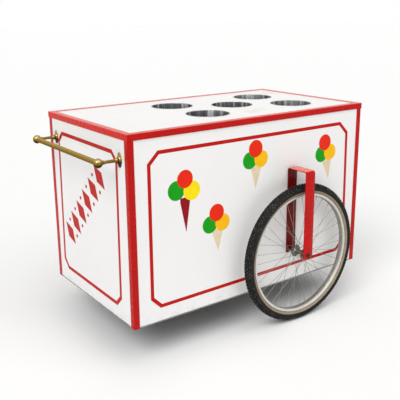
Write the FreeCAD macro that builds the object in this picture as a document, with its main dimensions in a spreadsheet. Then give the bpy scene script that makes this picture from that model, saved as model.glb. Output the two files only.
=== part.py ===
import FreeCAD, Part
import math
import os

import Sketcher

# An ice cream cart: a white panelled box on two bicycle wheels and a swivel caster, with five
# round wells in its top and a brass push handle on one end. Millimetres, +Z up, floor at z = 0.
# The handle end faces -X, the front long side faces -Y, and the origin is on the floor under the
# centre of the whole cart.

document = FreeCAD.newDocument("ice_cream_cart")

SIZES = [
    ("box_length", 1300, "box, end face to end face"),
    ("box_width", 725, "box, front face to back face"),
    ("wall_height", 779, "wall panels, base sheet to lid"),
    ("ground_clearance", 170, "floor to the underside of the base sheet"),
    ("base_thick", 4, "base sheet"),
    ("panel_thick", 25, "wall panels"),
    ("floor_thick", 18, "floor panel inside the box"),
    ("top_thick", 25, "top panel"),
    ("lid_overhang", 2, "top panel beyond the wall faces"),
    ("trim_thick", 2, "sheet of the corner and lid mouldings"),
    ("corner_leg", 27, "leg of a corner moulding, outside"),
    ("lid_trim_leg", 29, "top leg of a lid moulding, outside"),
    ("wells_from_far_end", 511, "centre of the group of wells to the far end"),
    ("well_pitch_long", 252, "wells, from the centre one along the cart"),
    ("well_pitch_cross", 145, "wells, from the centre one across the cart"),
    ("well_hole_dia", 198, "hole in the top panel for a well"),
    ("well_fit", 0.3, "radial gap of a well in its hole"),
    ("well_wall", 1.2, "sheet of a well"),
    ("well_lip", 4, "lip of a well, beyond its tube"),
    ("well_depth", 240, "well, top panel to the outside of its bottom"),
    ("tyre_radius", 330, "big wheel, outside the tyre"),
    ("tyre_section", 24, "radius of the tyre's round section"),
    ("tyre_casing", 4, "wall of the tyre"),
    ("rim_half", 15, "half the rim's width"),
    ("rim_hook", 2.4, "wall of the rim beside the tyre's bead"),
    ("rim_tip_gap", 3, "gap between the rim's tip and the bulge of the tyre"),
    ("rim_hook_height", 6, "rim wall above the tyre's bed"),
    ("rim_depth", 8, "rim below the tyre's bed"),
    ("rim_bevel", 4, "bevel of the rim's inner corners"),
    ("bead_gap", 0.1, "gap between the tyre's bead and the rim"),
    ("spoke_dia", 2.2, "spoke"),
    ("spoke_count", 36, "spokes in one wheel"),
    ("spoke_crossings", 3, "spokes that each spoke crosses"),
    ("spoke_pitch_radius", 23, "spoke holes in the hub's flange"),
    ("spoke_rim_offset", 2, "spoke ends from the wheel's mid-plane"),
    ("spoke_flange_gap", 0.05, "gap between a spoke and the hub's flange"),
    ("spoke_seat_gap", 0.25, "gap between a spoke's end and the rim"),
    ("flange_radius", 28, "hub flange"),
    ("flange_thick", 3, "hub flange"),
    ("flange_offset", 29, "hub flange's middle from the wheel's mid-plane"),
    ("hub_radius", 15, "hub barrel between the flanges"),
    ("hub_end_radius", 18, "bearing cup outside a flange"),
    ("hub_half", 38, "half the hub's length"),
    ("axle_from_far_end", 444, "wheel axles to the far end of the box"),
    ("axle_dia", 10, "wheel axle"),
    ("axle_play", 0.06, "radial running gap of a hub or fork on its pin"),
    ("axle_hole_fit", 0.5, "radial gap of an axle in a bolt hole"),
    ("axle_collar_radius", 9, "locknut beside the hub"),
    ("axle_stub", 5, "axle beyond its nut"),
    ("end_float", 0.3, "gap beside a hub"),
    ("nut_flats", 17, "axle nut, across the flats"),
    ("nut_thick", 8, "axle nut"),
    ("thread_gap", 0.05, "radial gap of a nut on its axle"),
    ("wheel_offset", 68, "wheel's mid-plane to the wall's face"),
    ("bracket_reach", 120, "wheel bracket, wall's face to its outer face"),
    ("bracket_width", 55, "flat bar of the wheel bracket"),
    ("bracket_thick", 5, "flat bar of the wheel bracket"),
    ("bracket_bend", 8, "inside radius of the bracket's bends"),
    ("bracket_headroom", 63, "top of the tyre to the bracket's crown"),
    ("bracket_tail", 14, "bracket legs below the axle"),
    ("handle_reach", 94, "end wall's face to the handle bar's centre line"),
    ("handle_drop", 83, "underside of the top panel to the bar's centre line"),
    ("handle_inset", 66, "handle post to the side of the box"),
    ("bar_dia", 22, "handle bar"),
    ("bar_fit", 0.1, "radial gap of the bar in its ball"),
    ("bar_engage", 6, "bar beyond the centre of its ball"),
    ("bar_collar_dia", 25, "collar on the bar beside a ball"),
    ("bar_collar_length", 4, "collar on the bar beside a ball"),
    ("ball_dia", 38, "ball at each end of the bar"),
    ("post_dia", 12, "handle post at its ball"),
    ("post_root_dia", 16, "handle post at its rosette"),
    ("post_bead_dia", 22, "bead on the post at its rosette"),
    ("post_bead_length", 12, "bead on the post at its rosette"),
    ("rosette_length", 62, "oval rosette on the end wall, up and down"),
    ("rosette_width", 34, "oval rosette on the end wall, across"),
    ("rosette_edge", 3, "rosette at its rim"),
    ("rosette_height", 9, "rosette at its middle"),
    ("caster_from_handle_end", 260, "caster's swivel axis to the handle end"),
    ("caster_plate_length", 110, "caster's top plate, along the cart"),
    ("caster_plate_width", 90, "caster's top plate, across the cart"),
    ("caster_plate_thick", 6, "caster's top plate"),
    ("race_radius", 30, "swivel bearing of the caster"),
    ("race_height", 20, "swivel bearing of the caster"),
    ("swivel_gap", 0.3, "gap between the swivel bearing and the fork"),
    ("kingpin_dia", 12, "caster kingpin"),
    ("kingpin_head_radius", 10, "head of the kingpin, under the fork"),
    ("kingpin_head_height", 6, "head of the kingpin, under the fork"),
    ("crown_thick", 6, "crown of the caster fork"),
    ("crown_clearance", 12.7, "top of the caster wheel to the crown"),
    ("crown_front", 28, "crown in front of the swivel axis"),
    ("caster_trail", 40, "caster axle behind the swivel axis"),
    ("fork_plate", 4, "side plates of the caster fork"),
    ("fork_foot", 14, "fork plate round its axle hole"),
    ("fork_foot_round", 10, "rounding of the fork plate's feet"),
    ("caster_width", 32, "caster tyre"),
    ("caster_hub_proud", 2, "caster hub beyond each side of its tyre"),
    ("caster_side_gap", 1, "gap between the caster hub and a fork plate"),
    ("caster_tyre_thick", 17, "rubber of the caster tyre"),
    ("caster_tyre_round", 6, "bevel of the caster tyre's tread"),
    ("caster_boss_radius", 15, "boss of the caster hub"),
    ("caster_bolt_dia", 10, "caster axle bolt"),
    ("caster_bolt_head_radius", 8, "head and nut of the caster axle bolt"),
    ("caster_bolt_head", 5, "head and nut of the caster axle bolt"),
]

sheet = document.addObject("Spreadsheet::Sheet", "dims")
for row, (alias, number, meaning) in enumerate(SIZES, start=1):
    sheet.set(f"A{row}", alias)
    sheet.set(f"B{row}", str(number))
    sheet.set(f"C{row}", meaning)
    sheet.setAlias(f"B{row}", alias)
document.recompute()

# Places worked out from the sheet, as expressions.

HANDLE_END = ("(-(dims.box_length + dims.lid_overhang + dims.trim_thick"
              " - dims.handle_reach - dims.ball_dia / 2) / 2)")
FAR_END = f"({HANDLE_END} + dims.box_length)"
FRONT = "(-dims.box_width / 2)"
WALL_FOOT = "(dims.ground_clearance + dims.base_thick)"
WALL_HEAD = f"({WALL_FOOT} + dims.wall_height)"
TOP_FACE = f"({WALL_HEAD} + dims.top_thick)"
INNER_WIDTH = "(dims.box_width - 2 * dims.panel_thick)"
LID_OUT = "(dims.lid_overhang + dims.trim_thick)"
WELLS_X = f"({FAR_END} - dims.wells_from_far_end)"
AXLE_X = f"({FAR_END} - dims.axle_from_far_end)"
AXLE_RADIUS = "(dims.axle_dia / 2)"
HUB_BORE = f"({AXLE_RADIUS} + dims.axle_play)"
TYRE_CENTRE = "(dims.tyre_radius - dims.tyre_section)"
RIM_TIP = f"({TYRE_CENTRE} - sqrt(dims.tyre_section ^ 2 - dims.rim_half ^ 2) - dims.rim_tip_gap)"
RIM_BED = f"({RIM_TIP} - dims.rim_hook_height)"
RIM_INNER = f"({RIM_BED} - dims.rim_depth)"
HANDLE_Z = f"({WALL_HEAD} - dims.handle_drop)"
HANDLE_Y = "(dims.box_width / 2 - dims.handle_inset)"
CASTER_X = f"({HANDLE_END} + dims.caster_from_handle_end)"
RACE_FOOT = "(dims.ground_clearance - dims.caster_plate_thick - dims.race_height)"
CROWN_TOP = f"({RACE_FOOT} - dims.swivel_gap)"
CROWN_FOOT = f"({CROWN_TOP} - dims.crown_thick)"
CASTER_RADIUS = f"(({CROWN_FOOT} - dims.crown_clearance) / 2)"
CASTER_HUB_HALF = "(dims.caster_width / 2 + dims.caster_hub_proud)"
FORK_INNER = f"({CASTER_HUB_HALF} + dims.caster_side_gap)"
FORK_OUTER = f"({FORK_INNER} + dims.fork_plate)"


def size(expression):
    """The number that an expression of the sheet's sizes comes to."""
    return float(sheet.evalExpression(expression.replace("dims.", "")))


def bind(item, **expressions):
    """Bind properties of an object to expressions of the sheet's sizes."""
    for name, expression in expressions.items():
        item.setExpression(name, expression)


def place(item, x="0", y="0", z="0", axis=None, angle=0):
    """Place an object at three expressions, turned by a fixed angle about an axis."""
    if axis is not None:
        item.Placement = FreeCAD.Placement(FreeCAD.Vector(), FreeCAD.Rotation(axis, angle))
    for name, expression in (("x", x), ("y", y), ("z", z)):
        if expression != "0":
            item.setExpression(f"Placement.Base.{name}", expression)
    return item


X_AXIS = FreeCAD.Vector(1, 0, 0)
Y_AXIS = FreeCAD.Vector(0, 1, 0)
Z_AXIS = FreeCAD.Vector(0, 0, 1)
QUARTER = 90
HALF = 180
NEAR = 0.01  # two edges closer than this lie in the same place

nodes = []


def node(item, label):
    """Give a finished sub-part its label and list it for export."""
    item.Label = label
    nodes.append(item)
    return item


# Part primitives and booleans.

def block(length, width, height):
    box = document.addObject("Part::Box", "block")
    bind(box, Length=length, Width=width, Height=height)
    return box


def rod(radius, height):
    """A cylinder that stands on z = 0."""
    cylinder = document.addObject("Part::Cylinder", "rod")
    bind(cylinder, Radius=radius, Height=height)
    return cylinder


def ring(centre_radius, section_radius):
    torus = document.addObject("Part::Torus", "ring")
    bind(torus, Radius1=centre_radius, Radius2=section_radius)
    return torus


def cut(base, tool):
    result = document.addObject("Part::Cut", "cut")
    result.Base = base
    result.Tool = tool
    return result


def fuse(*pieces):
    result = document.addObject("Part::MultiFuse", "fuse")
    result.Shapes = list(pieces)
    return result


def group(*pieces):
    result = document.addObject("Part::Compound", "group")
    result.Links = list(pieces)
    return result


# PartDesign bodies, with sketches whose every corner is bound to the sheet.

def new_body():
    return document.addObject("PartDesign::Body", "body")


def sketch_on(body, role):
    """A sketch on one of the body's own origin planes."""
    sketch = body.newObject("Sketcher::SketchObject", "sketch")
    plane = next(feature for feature in body.Origin.OriginFeatures if feature.Role == role)
    sketch.AttachmentSupport = [(plane, "")]
    sketch.MapMode = "FlatFace"
    return sketch


HORIZONTAL_AXIS = -1
VERTICAL_AXIS = -2
LINE_START = 1
LINE_END = 2
CIRCLE_CENTRE = 3


def pin_point(sketch, edge, end, x, y):
    """Hold one point of a sketch at two expressions."""
    for kind, expression, axis in (("DistanceX", x, VERTICAL_AXIS), ("DistanceY", y, HORIZONTAL_AXIS)):
        if expression == "0":
            sketch.addConstraint(Sketcher.Constraint("PointOnObject", edge, end, axis))
        else:
            number = size(expression)
            held = sketch.addConstraint(Sketcher.Constraint(kind, edge, end, number))
            sketch.setExpression(f"Constraints[{held}]", expression)


def outline(sketch, corners):
    """A closed polygon through corners that are pairs of expressions."""
    spots = [FreeCAD.Vector(size(x), size(y), 0) for x, y in corners]
    first = sketch.GeometryCount
    count = len(corners)
    for index in range(count):
        sketch.addGeometry(Part.LineSegment(spots[index], spots[(index + 1) % count]))
    for index in range(count):
        following = first + (index + 1) % count
        joined = Sketcher.Constraint("Coincident", first + index, LINE_END, following, LINE_START)
        sketch.addConstraint(joined)
    for index, (x, y) in enumerate(corners):
        pin_point(sketch, first + index, LINE_START, x, y)


def circle(sketch, x, y, radius):
    centre = FreeCAD.Vector(size(x), size(y), 0)
    edge = sketch.addGeometry(Part.Circle(centre, FreeCAD.Vector(0, 0, 1), size(radius)))
    pin_point(sketch, edge, CIRCLE_CENTRE, x, y)
    held = sketch.addConstraint(Sketcher.Constraint("Radius", edge, size(radius)))
    sketch.setExpression(f"Constraints[{held}]", radius)


def pad(body, sketch, length, symmetric=False):
    feature = body.newObject("PartDesign::Pad", "pad")
    feature.Profile = sketch
    if symmetric:
        feature.SideType = "Symmetric"
    bind(feature, Length=length)
    document.recompute()
    return feature


def pocket(body, sketch, length, reverse=False, symmetric=False):
    feature = body.newObject("PartDesign::Pocket", "pocket")
    feature.Profile = sketch
    feature.Reversed = reverse
    if symmetric:
        feature.SideType = "Symmetric"
    bind(feature, Length=length)
    before = feature.BaseFeature.Shape.Volume
    document.recompute()
    if feature.Shape.Volume >= before:
        raise ValueError(f"the pocket in {body.Label} cuts nothing")
    return feature


def turn(body, corners):
    """A solid of revolution about the sketch's upright axis; corners are (radius, along)."""
    sketch = sketch_on(body, "XY_Plane")
    outline(sketch, corners)
    feature = body.newObject("PartDesign::Revolution", "turn")
    feature.Profile = sketch
    feature.ReferenceAxis = (sketch, ["V_Axis"])
    document.recompute()
    return feature


def mirrored_profile(half):
    """Corners of a profile that is the same on both sides of along = 0."""
    return half + [(radius, f"(-{along})") for radius, along in reversed(half)]


def round_edges(body, radius, wanted):
    """Fillet the edges of the body's tip that the test picks."""
    base = body.Tip
    names = [f"Edge{index}" for index, edge in enumerate(base.Shape.Edges, start=1) if wanted(edge)]
    feature = body.newObject("PartDesign::Fillet", "fillet")
    feature.Base = (base, names)
    bind(feature, Radius=radius)
    document.recompute()
    return feature


# The box: base sheet, floor, four walls and the top.

def make_box():
    base = node(block("dims.box_length", "dims.box_width", "dims.base_thick"), "base_sheet")
    place(base, HANDLE_END, FRONT, "dims.ground_clearance")
    floor = node(block("dims.box_length - 2 * dims.panel_thick", INNER_WIDTH, "dims.floor_thick"),
                 "floor_panel")
    place(floor, f"{HANDLE_END} + dims.panel_thick", f"{FRONT} + dims.panel_thick", WALL_FOOT)
    for side, y in (("front", FRONT), ("back", "dims.box_width / 2 - dims.panel_thick")):
        long_wall(f"{side}_panel", y)
    for end, x in (("handle_end", HANDLE_END), ("far_end", f"{FAR_END} - dims.panel_thick")):
        wall = node(block("dims.panel_thick", INNER_WIDTH, "dims.wall_height"), f"{end}_panel")
        place(wall, x, f"{FRONT} + dims.panel_thick", WALL_FOOT)


def long_wall(label, y):
    """A full-length wall with the bolt hole of its wheel axle."""
    plate = block("dims.box_length", "dims.panel_thick", "dims.wall_height")
    hole = rod(f"{AXLE_RADIUS} + dims.axle_hole_fit", "dims.panel_thick")
    place(hole, "dims.box_length - dims.axle_from_far_end", "dims.panel_thick",
          f"dims.tyre_radius - {WALL_FOOT}", X_AXIS, QUARTER)
    wall = node(cut(plate, hole), label)
    place(wall, HANDLE_END, y, WALL_FOOT)


WELL_PLACES = {
    "well_centre": ("0", "0"),
    "well_front_near": ("(-dims.well_pitch_long)", "(-dims.well_pitch_cross)"),
    "well_front_far": ("dims.well_pitch_long", "(-dims.well_pitch_cross)"),
    "well_back_near": ("(-dims.well_pitch_long)", "dims.well_pitch_cross"),
    "well_back_far": ("dims.well_pitch_long", "dims.well_pitch_cross"),
}


def make_top():
    """The top panel, with the group of wells about its own origin."""
    body = node(new_body(), "top_panel")
    near = f"({HANDLE_END} - dims.lid_overhang - {WELLS_X})"
    far = f"({FAR_END} + dims.lid_overhang - {WELLS_X})"
    half = "(dims.box_width / 2 + dims.lid_overhang)"
    sketch = sketch_on(body, "XY_Plane")
    outline(sketch, [(near, f"(-{half})"), (far, f"(-{half})"), (far, half), (near, half)])
    for x, y in WELL_PLACES.values():
        circle(sketch, x, y, "dims.well_hole_dia / 2")
    pad(body, sketch, "dims.top_thick")
    place(body, WELLS_X, "0", WALL_HEAD)


def make_wells():
    """Open steel cups, each with a thin lip on the top panel."""
    outer = "(dims.well_hole_dia / 2 - dims.well_fit)"
    inner = f"({outer} - dims.well_wall)"
    lip = f"({outer} + dims.well_lip)"
    foot = "(-dims.well_depth)"
    inside = "(dims.well_wall - dims.well_depth)"
    profile = [("0", foot), (outer, foot), (outer, "0"), (lip, "0"), (lip, "dims.well_wall"),
               (inner, "dims.well_wall"), (inner, inside), ("0", inside)]
    for label, (x, y) in WELL_PLACES.items():
        body = node(new_body(), label)
        turn(body, profile)
        place(body, f"{WELLS_X} + {x}", y, TOP_FACE, X_AXIS, QUARTER)


# Red mouldings: an angle on each corner and a mitred angle on each edge of the lid.

def make_corner_trims():
    thick = "(-dims.trim_thick)"
    leg = "(dims.corner_leg - dims.trim_thick)"
    corners = [(thick, thick), (leg, thick), (leg, "0"), ("0", "0"), ("0", leg), (thick, leg)]
    places = {
        "corner_trim_front_near": (HANDLE_END, FRONT, 0),
        "corner_trim_front_far": (FAR_END, FRONT, QUARTER),
        "corner_trim_back_far": (FAR_END, "dims.box_width / 2", HALF),
        "corner_trim_back_near": (HANDLE_END, "dims.box_width / 2", -QUARTER),
    }
    for label, (x, y, angle) in places.items():
        body = node(new_body(), label)
        sketch = sketch_on(body, "XY_Plane")
        outline(sketch, corners)
        pad(body, sketch, "dims.base_thick + dims.wall_height")
        place(body, x, y, "dims.ground_clearance", Z_AXIS, angle)


def lid_trim(label, edge, x, y, angle):
    """One lid moulding: its outer edge is on the local X axis and it reaches in along +Y."""
    leg = "dims.lid_trim_leg"
    skin = "dims.trim_thick"
    half = f"({edge} / 2 + {LID_OUT})"
    body = node(new_body(), label)
    whole = sketch_on(body, "XY_Plane")
    outline(whole, [(f"(-{half})", "0"), (half, "0"),
                    (f"({half} - {leg})", leg), (f"({leg} - {half})", leg)])
    pad(body, whole, "dims.top_thick + dims.trim_thick")
    under = sketch_on(body, "XY_Plane")
    outline(under, [(f"({skin} - {half})", skin), (f"({half} - {skin})", skin),
                    (f"({half} - {leg})", leg), (f"({leg} - {half})", leg)])
    pocket(body, under, "dims.top_thick", reverse=True)
    place(body, x, y, WALL_HEAD, Z_AXIS, angle)


def make_lid_trims():
    middle = f"({HANDLE_END} + dims.box_length / 2)"
    lid_trim("lid_trim_front", "dims.box_length", middle, f"{FRONT} - {LID_OUT}", 0)
    lid_trim("lid_trim_far_end", "dims.box_width", f"{FAR_END} + {LID_OUT}", "0", QUARTER)
    lid_trim("lid_trim_back", "dims.box_length", middle, f"dims.box_width / 2 + {LID_OUT}", HALF)
    lid_trim("lid_trim_handle_end", "dims.box_width", f"{HANDLE_END} - {LID_OUT}", "0", -QUARTER)


# What carries a big wheel. Each piece has its origin where the axle meets the wall's face,
# with the wheel on its -Y side, and the back ones are turned by half a turn.

SIDES = {"front": (FRONT, 0), "back": ("dims.box_width / 2", HALF)}


def make_brackets():
    """Flat bar bent into an upside-down U over the wheel."""
    reach = "(-dims.bracket_reach)"
    outer_leg = "(dims.bracket_thick - dims.bracket_reach)"
    crown = "(dims.tyre_radius + dims.bracket_headroom + dims.bracket_thick)"
    crown_foot = "(dims.tyre_radius + dims.bracket_headroom)"
    inner_leg = "(-dims.bracket_thick)"
    tail = "(-dims.bracket_tail)"
    corners = [("0", tail), ("0", crown), (reach, crown), (reach, tail), (outer_leg, tail),
               (outer_leg, crown_foot), (inner_leg, crown_foot), (inner_leg, tail)]
    for side, (y, angle) in SIDES.items():
        body = node(new_body(), f"wheel_bracket_{side}")
        bar = sketch_on(body, "YZ_Plane")
        outline(bar, corners)
        pad(body, bar, "dims.bracket_width", symmetric=True)
        hole = sketch_on(body, "XZ_Plane")
        circle(hole, "0", "0", f"{AXLE_RADIUS} + dims.axle_hole_fit")
        pocket(body, hole, "2 * dims.bracket_reach", symmetric=True)
        bend(body, size(crown), "dims.bracket_bend + dims.bracket_thick")
        bend(body, size(crown_foot), "dims.bracket_bend")
        place(body, AXLE_X, y, "dims.tyre_radius", Z_AXIS, angle)


def bend(body, height, radius):
    """Round the two corners of the bar that run along X at a height."""
    width = size("dims.bracket_width")

    def is_corner(edge):
        box = edge.BoundBox
        level = abs(box.ZMin - height) < NEAR and box.ZLength < NEAR
        return level and abs(box.XLength - width) < NEAR

    round_edges(body, radius, is_corner)


def make_axles():
    """A threaded axle through the wall and both legs, with a locknut on each side of the hub."""
    inner_end = "(dims.panel_thick + dims.nut_thick + dims.axle_stub)"
    outer_end = "(-(dims.bracket_reach + dims.nut_thick + dims.axle_stub))"
    collar = "dims.axle_collar_radius"
    inner_leg = "(-dims.bracket_thick)"
    outer_leg = "(dims.bracket_thick - dims.bracket_reach)"
    inner_hub = "(dims.hub_half + dims.end_float - dims.wheel_offset)"
    outer_hub = "(-(dims.hub_half + dims.end_float + dims.wheel_offset))"
    profile = [("0", inner_end), (AXLE_RADIUS, inner_end), (AXLE_RADIUS, inner_leg), (collar, inner_leg),
               (collar, inner_hub), (AXLE_RADIUS, inner_hub), (AXLE_RADIUS, outer_hub), (collar, outer_hub),
               (collar, outer_leg), (AXLE_RADIUS, outer_leg), (AXLE_RADIUS, outer_end), ("0", outer_end)]
    for side, (y, angle) in SIDES.items():
        body = node(new_body(), f"axle_{side}")
        turn(body, profile)
        place(body, AXLE_X, y, "dims.tyre_radius", Z_AXIS, angle)


def hex_nut(y):
    """A six-sided nut on the local Y axis, from y outwards."""
    prism = document.addObject("Part::Prism", "prism")
    prism.Polygon = 6
    bind(prism, Circumradius="dims.nut_flats / sqrt(3)", Height="dims.nut_thick")
    nut = cut(prism, rod(f"{AXLE_RADIUS} + dims.thread_gap", "dims.nut_thick"))
    return place(nut, "0", y, "0", X_AXIS, QUARTER)


def make_axle_nuts():
    for side, (y, angle) in SIDES.items():
        outer = hex_nut("(-dims.bracket_reach)")
        inner = hex_nut("dims.panel_thick + dims.nut_thick")
        nuts = node(group(outer, inner), f"axle_nuts_{side}")
        place(nuts, AXLE_X, y, "dims.tyre_radius", Z_AXIS, angle)


# The big wheels, each about its own mid-plane with its axis along Y.

WHEEL_PLANES = {"front": f"{FRONT} - dims.wheel_offset", "back": "dims.box_width / 2 + dims.wheel_offset"}


def place_wheel_piece(item, side):
    place(item, AXLE_X, WHEEL_PLANES[side], "dims.tyre_radius")


def make_hubs():
    inside = "(dims.flange_offset - dims.flange_thick / 2)"
    outside = "(dims.flange_offset + dims.flange_thick / 2)"
    half = [(HUB_BORE, "dims.hub_half"), ("dims.hub_end_radius", "dims.hub_half"),
            ("dims.hub_end_radius", outside), ("dims.flange_radius", outside),
            ("dims.flange_radius", inside), ("dims.hub_radius", inside)]
    for side in SIDES:
        body = node(new_body(), f"hub_{side}")
        turn(body, mirrored_profile(half))
        place_wheel_piece(body, side)


def make_rims():
    bevel_radius = f"({RIM_INNER} + dims.rim_bevel)"
    bed_half = "(dims.rim_half - dims.rim_hook)"
    half = [(RIM_BED, bed_half), (RIM_TIP, bed_half), (RIM_TIP, "dims.rim_half"),
            (bevel_radius, "dims.rim_half"), (RIM_INNER, "(dims.rim_half - dims.rim_bevel)")]
    for side in SIDES:
        body = node(new_body(), f"rim_{side}")
        turn(body, mirrored_profile(half))
        place_wheel_piece(body, side)


def make_tyres():
    """A round hollow casing with a bead that sits between the rim's walls."""
    bead_half = "(dims.rim_half - dims.rim_hook - dims.bead_gap)"
    for side in SIDES:
        bead = cut(rod(TYRE_CENTRE, f"2 * {bead_half}"),
                   rod(f"{RIM_BED} + dims.bead_gap", f"2 * {bead_half}"))
        place(bead, "0", "0", f"(-{bead_half})")
        casing = fuse(ring(TYRE_CENTRE, "dims.tyre_section"), bead)
        tyre = node(cut(casing, ring(TYRE_CENTRE, "dims.tyre_section - dims.tyre_casing")), f"tyre_{side}")
        place(tyre, AXLE_X, WHEEL_PLANES[side], "dims.tyre_radius", X_AXIS, QUARTER)


def spoke_ends(index):
    """Both ends of one spoke: every other one goes to each flange, and leans each way in turn."""
    count = size("dims.spoke_count")
    flange_side = 1 if index % 2 == 0 else -1
    lean = 1 if (index // 2) % 2 == 0 else -1
    rim_angle = 2 * math.pi * index / count
    swing = 4 * math.pi * size("dims.spoke_crossings") / count
    hub_angle = rim_angle - lean * swing
    hub_radius = size("dims.spoke_pitch_radius")
    rim_radius = size(RIM_INNER) - size("dims.spoke_seat_gap")
    rim_offset = size("dims.spoke_rim_offset")
    beside_flange = size("dims.flange_thick / 2 + dims.spoke_dia / 2 + dims.spoke_flange_gap")
    if lean > 0:
        # Outside the flange: the slanted spoke just clears the flange's edge.
        length = math.sqrt(hub_radius ** 2 + rim_radius ** 2 - 2 * hub_radius * rim_radius * math.cos(swing))
        over_flange = math.sqrt(size("dims.flange_radius") ** 2 - hub_radius ** 2) / length
        edge_offset = size("dims.flange_offset") + beside_flange
        hub_offset = (edge_offset - rim_offset * over_flange) / (1 - over_flange)
    else:
        hub_offset = size("dims.flange_offset") - beside_flange
    hub_end = FreeCAD.Vector(hub_radius * math.cos(hub_angle), flange_side * hub_offset,
                             hub_radius * math.sin(hub_angle))
    rim_end = FreeCAD.Vector(rim_radius * math.cos(rim_angle), flange_side * rim_offset,
                             rim_radius * math.sin(rim_angle))
    return hub_end, rim_end


def make_spokes():
    """Straight spokes that cross one another without touching, as separate solids."""
    for side in SIDES:
        spokes = []
        for index in range(int(size("dims.spoke_count"))):
            hub_end, rim_end = spoke_ends(index)
            along = rim_end - hub_end
            spokes.append(Part.makeCylinder(size("dims.spoke_dia") / 2, along.Length, hub_end, along))
        feature = node(document.addObject("Part::Feature", "spokes"), f"spokes_{side}")
        feature.Shape = Part.makeCompound(spokes)
        place_wheel_piece(feature, side)


# The brass handle. A post is turned about its own axis, which points away from the end wall.

HANDLE_POSTS = {"front": f"(-{HANDLE_Y})", "back": HANDLE_Y}


def rosette():
    """An oval plate with a low cone on it up to the post's bead; +Z points away from the wall."""
    oval = document.addObject("Part::Ellipse", "oval")
    bind(oval, MajorRadius="dims.rosette_length / 2", MinorRadius="dims.rosette_width / 2")
    plate = document.addObject("Part::Extrusion", "plate")
    plate.Base = oval
    plate.DirMode = "Custom"
    plate.Dir = Z_AXIS
    plate.Solid = True
    bind(plate, LengthFwd="dims.rosette_edge")
    cone = document.addObject("Part::Cone", "cone")
    bind(cone, Radius1="dims.rosette_width / 2", Radius2="dims.post_bead_dia / 2",
         Height="dims.rosette_height - dims.rosette_edge")
    place(cone, z="dims.rosette_edge")
    return fuse(plate, cone)


def make_handle():
    for side, y in HANDLE_POSTS.items():
        place(node(rosette(), f"handle_rosette_{side}"), HANDLE_END, y, HANDLE_Z, Y_AXIS, -QUARTER)
        post = node(handle_post(side), f"handle_post_{side}")
        place(post, HANDLE_END, y, HANDLE_Z, Z_AXIS, QUARTER)
    bar = node(new_body(), "handle_bar")
    ball_chord = "sqrt((dims.ball_dia / 2) ^ 2 - (dims.bar_dia / 2 + dims.bar_fit) ^ 2)"
    collar_outer = f"({HANDLE_Y} - {ball_chord} - dims.end_float)"
    collar_inner = f"({collar_outer} - dims.bar_collar_length)"
    end = f"({HANDLE_Y} + dims.bar_engage - dims.end_float)"
    turn(bar, mirrored_profile([("0", end), ("dims.bar_dia / 2", end), ("dims.bar_dia / 2", collar_outer),
                                ("dims.bar_collar_dia / 2", collar_outer),
                                ("dims.bar_collar_dia / 2", collar_inner),
                                ("dims.bar_dia / 2", collar_inner)]))
    place(bar, f"{HANDLE_END} - dims.handle_reach", "0", HANDLE_Z)


def handle_post(side):
    """A tapered post with a bead at its root and a ball at its head, bored for the bar."""
    stem = new_body()
    root = "(dims.post_root_dia / 2)"
    bead = "(dims.post_bead_dia / 2)"
    foot = "dims.rosette_height"
    third = "dims.post_bead_length / 3"
    inside_ball = "(dims.handle_reach - dims.ball_dia / 3)"
    turn(stem, [("0", foot), (root, foot), (bead, f"({foot} + {third})"), (bead, f"({foot} + 2 * {third})"),
                (root, f"({foot} + 3 * {third})"), ("(dims.post_dia / 2)", inside_ball), ("0", inside_ball)])
    ball = document.addObject("Part::Sphere", "ball")
    bind(ball, Radius="dims.ball_dia / 2")
    place(ball, "0", "dims.handle_reach")
    bore = rod("dims.bar_dia / 2 + dims.bar_fit", "dims.bar_engage + dims.ball_dia")
    if side == "front":
        place(bore, "(-dims.bar_engage)", "dims.handle_reach", "0", Y_AXIS, QUARTER)
    else:
        place(bore, "dims.bar_engage", "dims.handle_reach", "0", Y_AXIS, -QUARTER)
    return cut(fuse(stem, ball), bore)


# The swivel caster under the handle end. The fork trails towards the handle.

def make_caster():
    plate_foot = "(dims.ground_clearance - dims.caster_plate_thick)"
    kingpin = "(dims.kingpin_dia / 2)"
    plate = block("dims.caster_plate_length", "dims.caster_plate_width", "dims.caster_plate_thick")
    place(plate, "(-dims.caster_plate_length / 2)", "(-dims.caster_plate_width / 2)", plate_foot)
    race = place(rod("dims.race_radius", "dims.race_height"), "0", "0", RACE_FOOT)
    hole = rod(f"{kingpin} + dims.thread_gap", "dims.ground_clearance")
    place(node(cut(fuse(plate, race), hole), "caster_plate"), CASTER_X)
    head_foot = f"({CROWN_FOOT} - dims.swivel_gap - dims.kingpin_head_height)"
    head = place(rod("dims.kingpin_head_radius", "dims.kingpin_head_height"), "0", "0", head_foot)
    shank = place(rod(kingpin, f"dims.ground_clearance - {head_foot}"), "0", "0", head_foot)
    place(node(fuse(head, shank), "caster_kingpin"), CASTER_X)
    make_caster_fork(kingpin)
    make_caster_wheel()


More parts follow.
